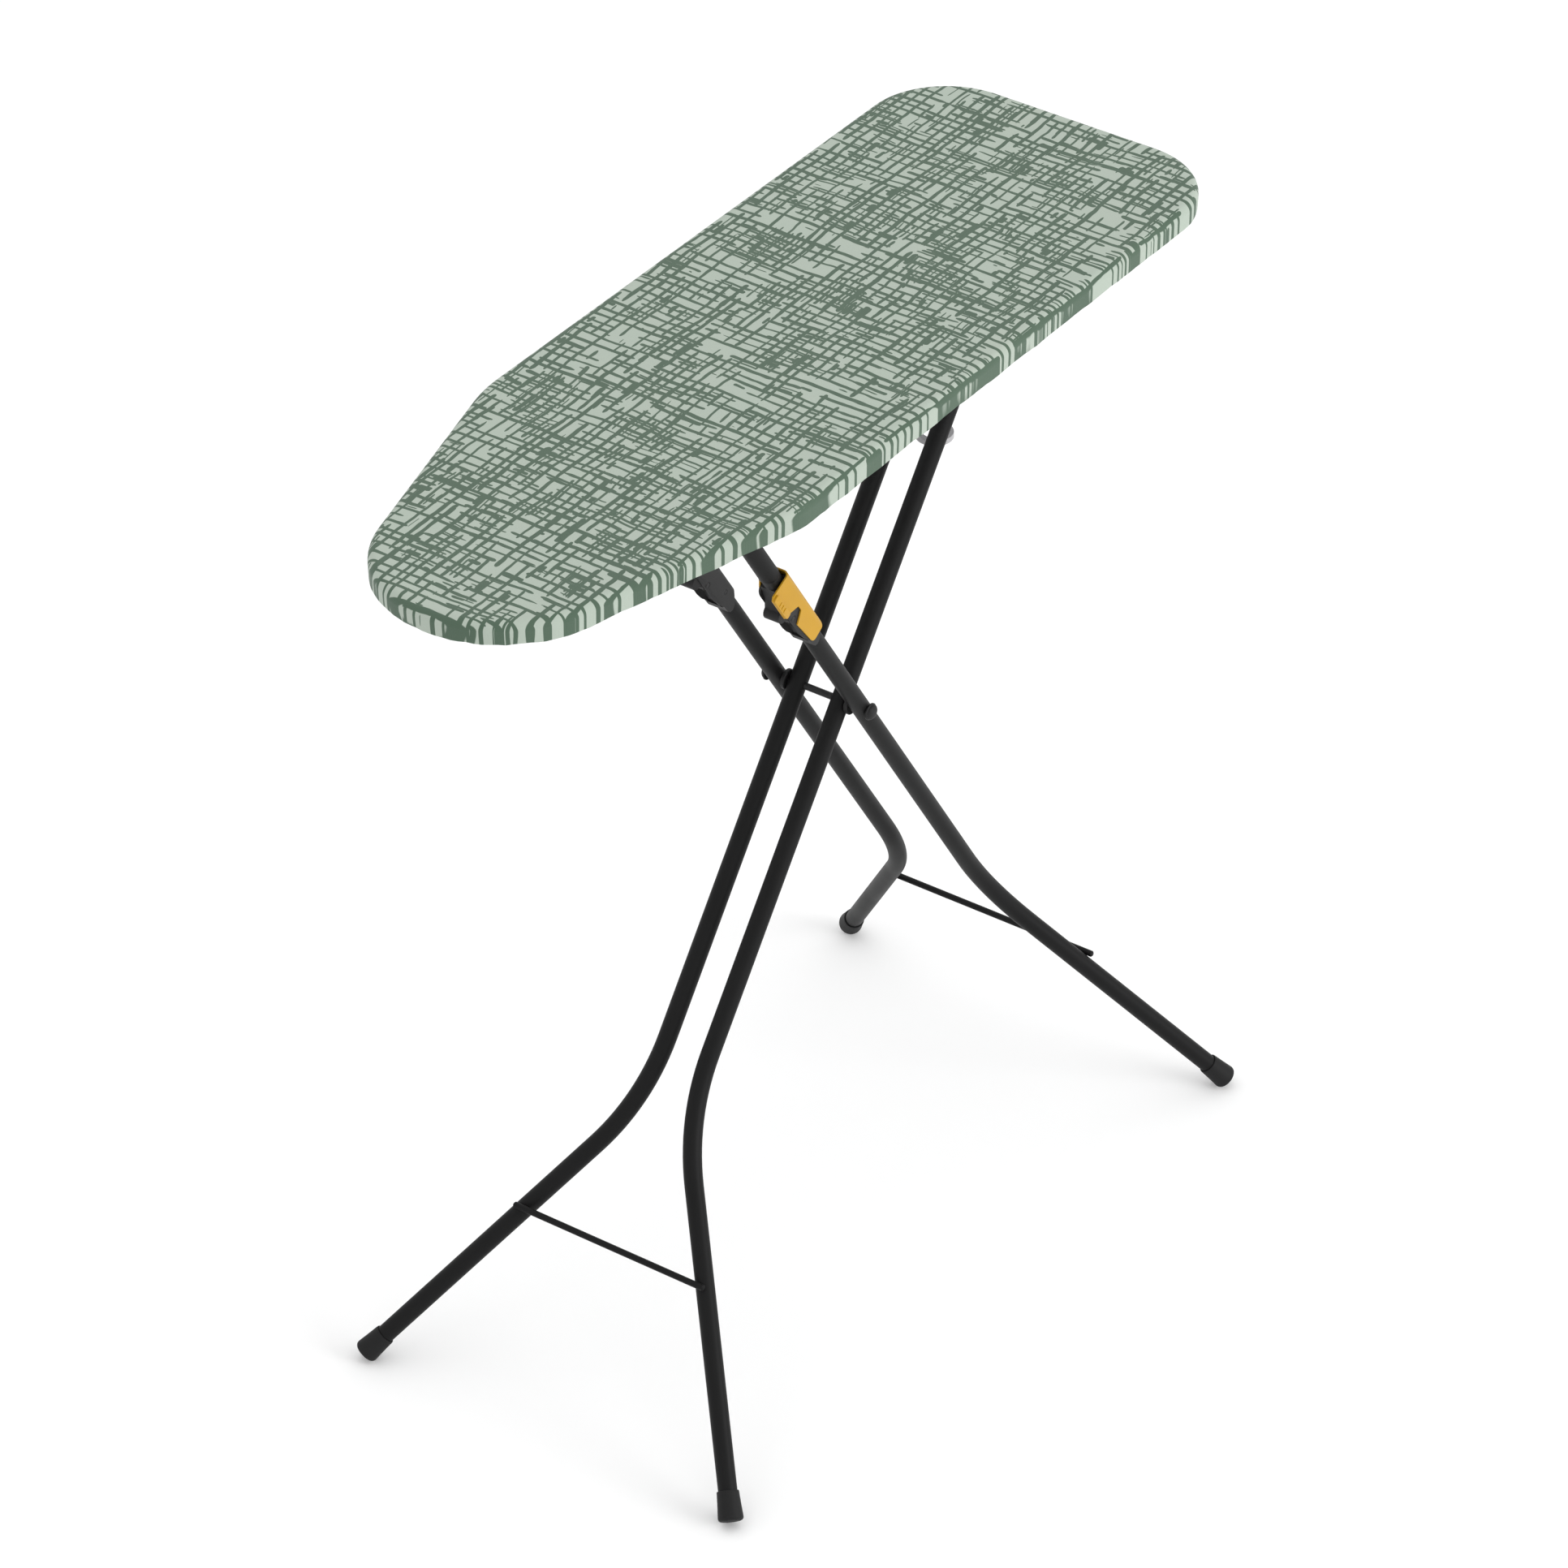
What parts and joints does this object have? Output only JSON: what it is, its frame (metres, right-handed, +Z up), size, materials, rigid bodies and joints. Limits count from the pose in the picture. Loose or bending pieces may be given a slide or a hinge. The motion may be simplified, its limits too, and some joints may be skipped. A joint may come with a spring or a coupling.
{
  "type": "ironing board",
  "caption": "Full-height ironing board with a crosshatch fabric cover, black scissor stand, hinged knuckles with a slide lock, height rack and lever.",
  "frame": {"origin": "on the floor under the middle of the board", "axes": "+X along the board from the round nose to the square rear end, +Y across, +Z up"},
  "size_m": [0.893, 0.4176, 0.8953],
  "materials": {
    "fabric": "matte printed cotton",
    "felt": "matte",
    "deck_steel": "satin",
    "black_tube": "satin powder coat",
    "black_plastic": "matte",
    "grey_plastic": "satin",
    "amber_plastic": "satin",
    "dark_steel": "satin",
    "zinc_steel": "zinc plated"
  },
  "bodies": {
    "board": {"ironing_cover": "fabric", "foam_pad": "felt", "deck_plate": "deck_steel", "edge_rim": "deck_steel", "pivot_bracket_near": "dark_steel", "pivot_bracket_far": "dark_steel", "pivot_pin": "zinc_steel", "deck_rib_near": "deck_steel", "deck_rib_far": "deck_steel", "height_rack_near": "zinc_steel", "height_rack_far": "zinc_steel", "lever_bearing_near": "black_plastic", "lever_bearing_far": "black_plastic"},
    "outer_upper": {"outer_upper_tube_near": "black_tube", "outer_upper_tube_far": "black_tube", "knuckle_tongue_near": "black_plastic", "knuckle_tongue_far": "black_plastic"},
    "outer_lower": {"outer_leg_tube_near": "black_tube", "outer_leg_tube_far": "black_tube", "outer_foot_near": "black_plastic", "outer_foot_far": "black_plastic", "outer_cross_rod": "dark_steel", "scissor_axle": "dark_steel", "axle_cap_near": "black_plastic", "axle_cap_far": "black_plastic", "axle_washer_near": "black_plastic", "axle_washer_far": "black_plastic", "knuckle_housing_near": "black_plastic", "knuckle_housing_far": "black_plastic", "knuckle_pin_near": "dark_steel", "knuckle_pin_far": "dark_steel", "housing_rivet_near": "dark_steel", "housing_rivet_far": "dark_steel"},
    "lock": {"lock_slider": "amber_plastic"},
    "inner_legs": {"inner_leg_tube_near": "black_tube", "inner_leg_tube_far": "black_tube", "inner_foot_near": "black_plastic", "inner_foot_far": "black_plastic", "inner_top_plug_near": "black_plastic", "inner_top_plug_far": "black_plastic", "inner_top_bar": "dark_steel", "inner_cross_rod": "dark_steel", "cord_clip": "grey_plastic"},
    "height_lever": {"lever_rod": "zinc_steel", "lever_pawl_near": "zinc_steel", "lever_pawl_far": "zinc_steel", "lever_grip": "grey_plastic"}
  },
  "joints": [
    {"name": "knuckle_fold", "type": "hinge", "parent": "outer_upper", "child": "outer_lower", "pos_m": [-0.03512, 0, 0.68221], "axis": [0, 1, 0], "range_deg": [0, 173.4]},
    {"name": "stand_fold", "type": "hinge", "parent": "board", "child": "outer_upper", "pos_m": [-0.1423, 0, 0.865], "axis": [0, -1, 0], "range_deg": [0, 57.1]},
    {"name": "scissor", "type": "hinge", "parent": "outer_lower", "child": "inner_legs", "pos_m": [0.07559, 0, 0.52995], "axis": [0, -1, 0], "range_deg": [0, 69.1]},
    {"name": "lock_slide", "type": "slide", "parent": "outer_lower", "child": "lock", "axis": [0.5452, 0, -0.8383], "range_m": [0, 0.012]},
    {"name": "lever_lift", "type": "hinge", "parent": "board", "child": "height_lever", "pos_m": [0.2936, 0, 0.8793], "axis": [0, -1, 0], "range_deg": [0, 7]}
  ],
  "couplings": [
    {"joint": "stand_fold", "follows": "knuckle_fold", "ratio": 0.3285},
    {"joint": "scissor", "follows": "knuckle_fold", "ratio": 0.39792}
  ]
}
